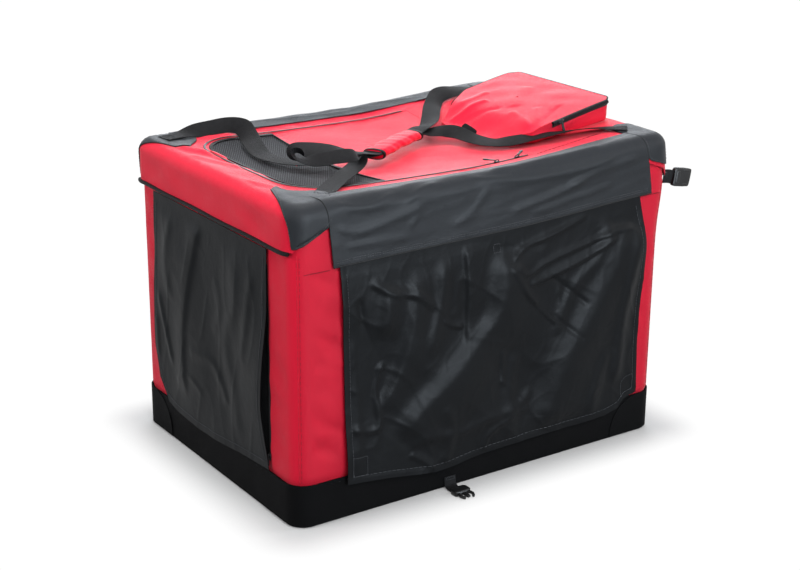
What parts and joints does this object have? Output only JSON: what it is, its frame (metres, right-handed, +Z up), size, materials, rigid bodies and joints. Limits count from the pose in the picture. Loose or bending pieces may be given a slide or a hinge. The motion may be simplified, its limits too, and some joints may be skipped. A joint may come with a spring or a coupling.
{
  "type": "folding dog crate",
  "caption": "Soft-sided folding dog crate: a hinged steel frame in a sewn cover with mesh doors, roll-up flaps, a roof hatch, a zipped pouch and a carry handle.",
  "frame": {"origin": "centre of the underside, on the floor", "axes": "+X along the length, -Y the long side with the wide hanging flap, +Z up"},
  "size_m": [0.9036, 0.6528, 0.6452],
  "materials": {
    "frame_paint": "satin",
    "pin_steel": "zinc plated",
    "red_cloth": "woven polyester",
    "black_cloth": "coated heavy polyester",
    "flap_cloth": "thin coated polyester, slight sheen",
    "slate_cloth": "woven polyester",
    "black_mesh": "open mesh",
    "pad_cloth": "fleece",
    "webbing": "woven webbing",
    "buckle_plastic": "moulded acetal",
    "zip_metal": "black enamel"
  },
  "bodies": {
    "base": {"base_frame": "frame_paint", "pin_front_left_base": "pin_steel", "pin_back_left_base": "pin_steel", "pin_front_right_base": "pin_steel", "pin_back_right_base": "pin_steel", "base_floor": "black_cloth", "base_band": "black_cloth", "floor_pad": "pad_cloth", "front_wall": "red_cloth", "back_wall": "red_cloth", "left_wall": "red_cloth", "right_wall": "red_cloth", "back_mesh_window": "black_mesh", "right_mesh_window": "black_mesh"},
    "left_lower": {"post_front_left_lower": "frame_paint", "post_back_left_lower": "frame_paint", "pin_front_left_knee": "pin_steel", "pin_back_left_knee": "pin_steel"},
    "left_upper": {"post_front_left_upper": "frame_paint", "post_back_left_upper": "frame_paint"},
    "right_lower": {"post_front_right_lower": "frame_paint", "post_back_right_lower": "frame_paint", "pin_front_right_knee": "pin_steel", "pin_back_right_knee": "pin_steel"},
    "right_upper": {"post_front_right_upper": "frame_paint", "post_back_right_upper": "frame_paint"},
    "roof": {"top_frame": "frame_paint", "pin_front_left_top": "pin_steel", "pin_back_left_top": "pin_steel", "pin_front_right_top": "pin_steel", "pin_back_right_top": "pin_steel", "roof_cover": "red_cloth", "front_valance": "slate_cloth", "back_valance": "slate_cloth", "left_piping": "black_cloth", "right_piping": "black_cloth", "strap_back_left": "webbing", "strap_front_left": "webbing", "strap_back_right": "webbing", "strap_front_right": "webbing", "pouch_bag": "red_cloth"},
    "door_front": {"front_mesh_door": "black_mesh"},
    "door_left": {"left_mesh_door": "black_mesh"},
    "flap_front": {"front_flap": "flap_cloth"},
    "flap_back": {"back_flap": "flap_cloth"},
    "flap_left": {"left_flap": "flap_cloth"},
    "flap_right": {"right_flap": "flap_cloth"},
    "hatch": {"hatch_panel": "red_cloth", "hatch_mesh": "black_mesh"},
    "lid": {"pouch_lid": "red_cloth"},
    "handle": {"grip_wrap": "red_cloth"},
    "closing_strap_front": {"front_strap": "webbing", "male_buckle": "buckle_plastic"},
    "closing_strap_side": {"side_strap": "webbing", "female_buckle": "buckle_plastic"},
    "zip_hatch_left": {"hatch_slider_left": "zip_metal"},
    "zip_hatch_right": {"hatch_slider_right": "zip_metal"},
    "zip_pouch": {"pouch_slider": "zip_metal"},
    "zip_door_front": {"front_door_slider": "zip_metal"},
    "zip_door_left": {"left_door_slider": "zip_metal"}
  },
  "joints": [
    {"name": "fold", "type": "hinge", "parent": "base", "child": "left_lower", "pos_m": [-0.352, 0, 0.0403], "axis": [0, 1, 0], "range_deg": [0, 84], "deforming": ["front_wall", "back_wall", "left_wall", "right_wall", "back_mesh_window", "right_mesh_window", "front_mesh_door", "left_mesh_door", "front_flap", "back_flap", "left_flap", "right_flap"]},
    {"name": "left_knee", "type": "hinge", "parent": "left_lower", "child": "left_upper", "pos_m": [-0.352, 0, 0.2888], "axis": [0, 1, 0], "range_deg": [-168, 0]},
    {"name": "left_top", "type": "hinge", "parent": "left_upper", "child": "roof", "pos_m": [-0.352, 0, 0.5373], "axis": [0, 1, 0], "range_deg": [0, 84]},
    {"name": "right_fold", "type": "hinge", "parent": "base", "child": "right_lower", "pos_m": [0.352, 0, 0.0403], "axis": [0, 1, 0], "range_deg": [-84, 0]},
    {"name": "right_knee", "type": "hinge", "parent": "right_lower", "child": "right_upper", "pos_m": [0.352, 0, 0.2888], "axis": [0, 1, 0], "range_deg": [0, 168]},
    {"name": "front_door_swing", "type": "hinge", "parent": "base", "child": "door_front", "pos_m": [0, -0.28575, 0.1036], "axis": [1, 0, 0], "range_deg": [-92, 0]},
    {"name": "left_door_swing", "type": "hinge", "parent": "base", "child": "door_left", "pos_m": [-0.40575, 0, 0.4634], "axis": [0, 1, 0], "range_deg": [-85, 0]},
    {"name": "front_flap_swing", "type": "hinge", "parent": "roof", "child": "flap_front", "pos_m": [0, -0.2913, 0.4695], "axis": [1, 0, 0], "range_deg": [-100, 0]},
    {"name": "back_flap_swing", "type": "hinge", "parent": "roof", "child": "flap_back", "pos_m": [0, 0.2913, 0.4695], "axis": [-1, 0, 0], "range_deg": [-100, 0]},
    {"name": "left_flap_swing", "type": "hinge", "parent": "roof", "child": "flap_left", "pos_m": [-0.4113, 0, 0.4902], "axis": [0, -1, 0], "range_deg": [-100, 0]},
    {"name": "right_flap_swing", "type": "hinge", "parent": "roof", "child": "flap_right", "pos_m": [0.4113, 0, 0.4902], "axis": [0, 1, 0], "range_deg": [-100, 0]},
    {"name": "hatch_swing", "type": "hinge", "parent": "roof", "child": "hatch", "pos_m": [0.155, 0, 0.55313], "axis": [0, 1, 0], "range_deg": [-60, 0], "deforming": ["hatch_panel", "hatch_mesh"]},
    {"name": "pouch_lid_swing", "type": "hinge", "parent": "roof", "child": "lid", "pos_m": [0.165, 0.092, 0.59294], "axis": [-0.1904, 0.9815, -0.0213], "range_deg": [-100, 0]},
    {"name": "handle_lift", "type": "slide", "parent": "roof", "child": "handle", "axis": [0, 0, 1], "range_m": [0, 0.15], "deforming": ["strap_back_left", "strap_front_left", "strap_back_right", "strap_front_right"]},
    {"name": "front_strap_swing", "type": "hinge", "parent": "base", "child": "closing_strap_front", "pos_m": [-0.073, -0.2913, 0.0225], "axis": [1, 0, 0], "range_deg": [-90, 0]},
    {"name": "side_strap_swing", "type": "hinge", "parent": "roof", "child": "closing_strap_side", "pos_m": [0.4148, -0.256, 0.516], "axis": [0, 0, 1], "range_deg": [-40, 40]},
    {"name": "hatch_slide_left", "type": "slide", "parent": "roof", "child": "zip_hatch_left", "axis": [1, 0, 0], "range_m": [-0.15, 0]},
    {"name": "hatch_slide_right", "type": "slide", "parent": "roof", "child": "zip_hatch_right", "axis": [1, 0, 0], "range_m": [0, 0.015]},
    {"name": "pouch_slide", "type": "slide", "parent": "lid", "child": "zip_pouch", "axis": [0.9777, 0, 0.2102], "range_m": [0, 0.07]},
    {"name": "front_door_slide", "type": "slide", "parent": "base", "child": "zip_door_front", "axis": [0, 0, -1], "range_m": [-0.25, 0]},
    {"name": "left_door_slide", "type": "slide", "parent": "base", "child": "zip_door_left", "axis": [0, 0, -1], "range_m": [-0.25, 0]}
  ],
  "couplings": [
    {"joint": "left_knee", "follows": "fold", "ratio": -2},
    {"joint": "left_top", "follows": "fold", "ratio": 1},
    {"joint": "right_fold", "follows": "fold", "ratio": -1},
    {"joint": "right_knee", "follows": "fold", "ratio": 2}
  ]
}
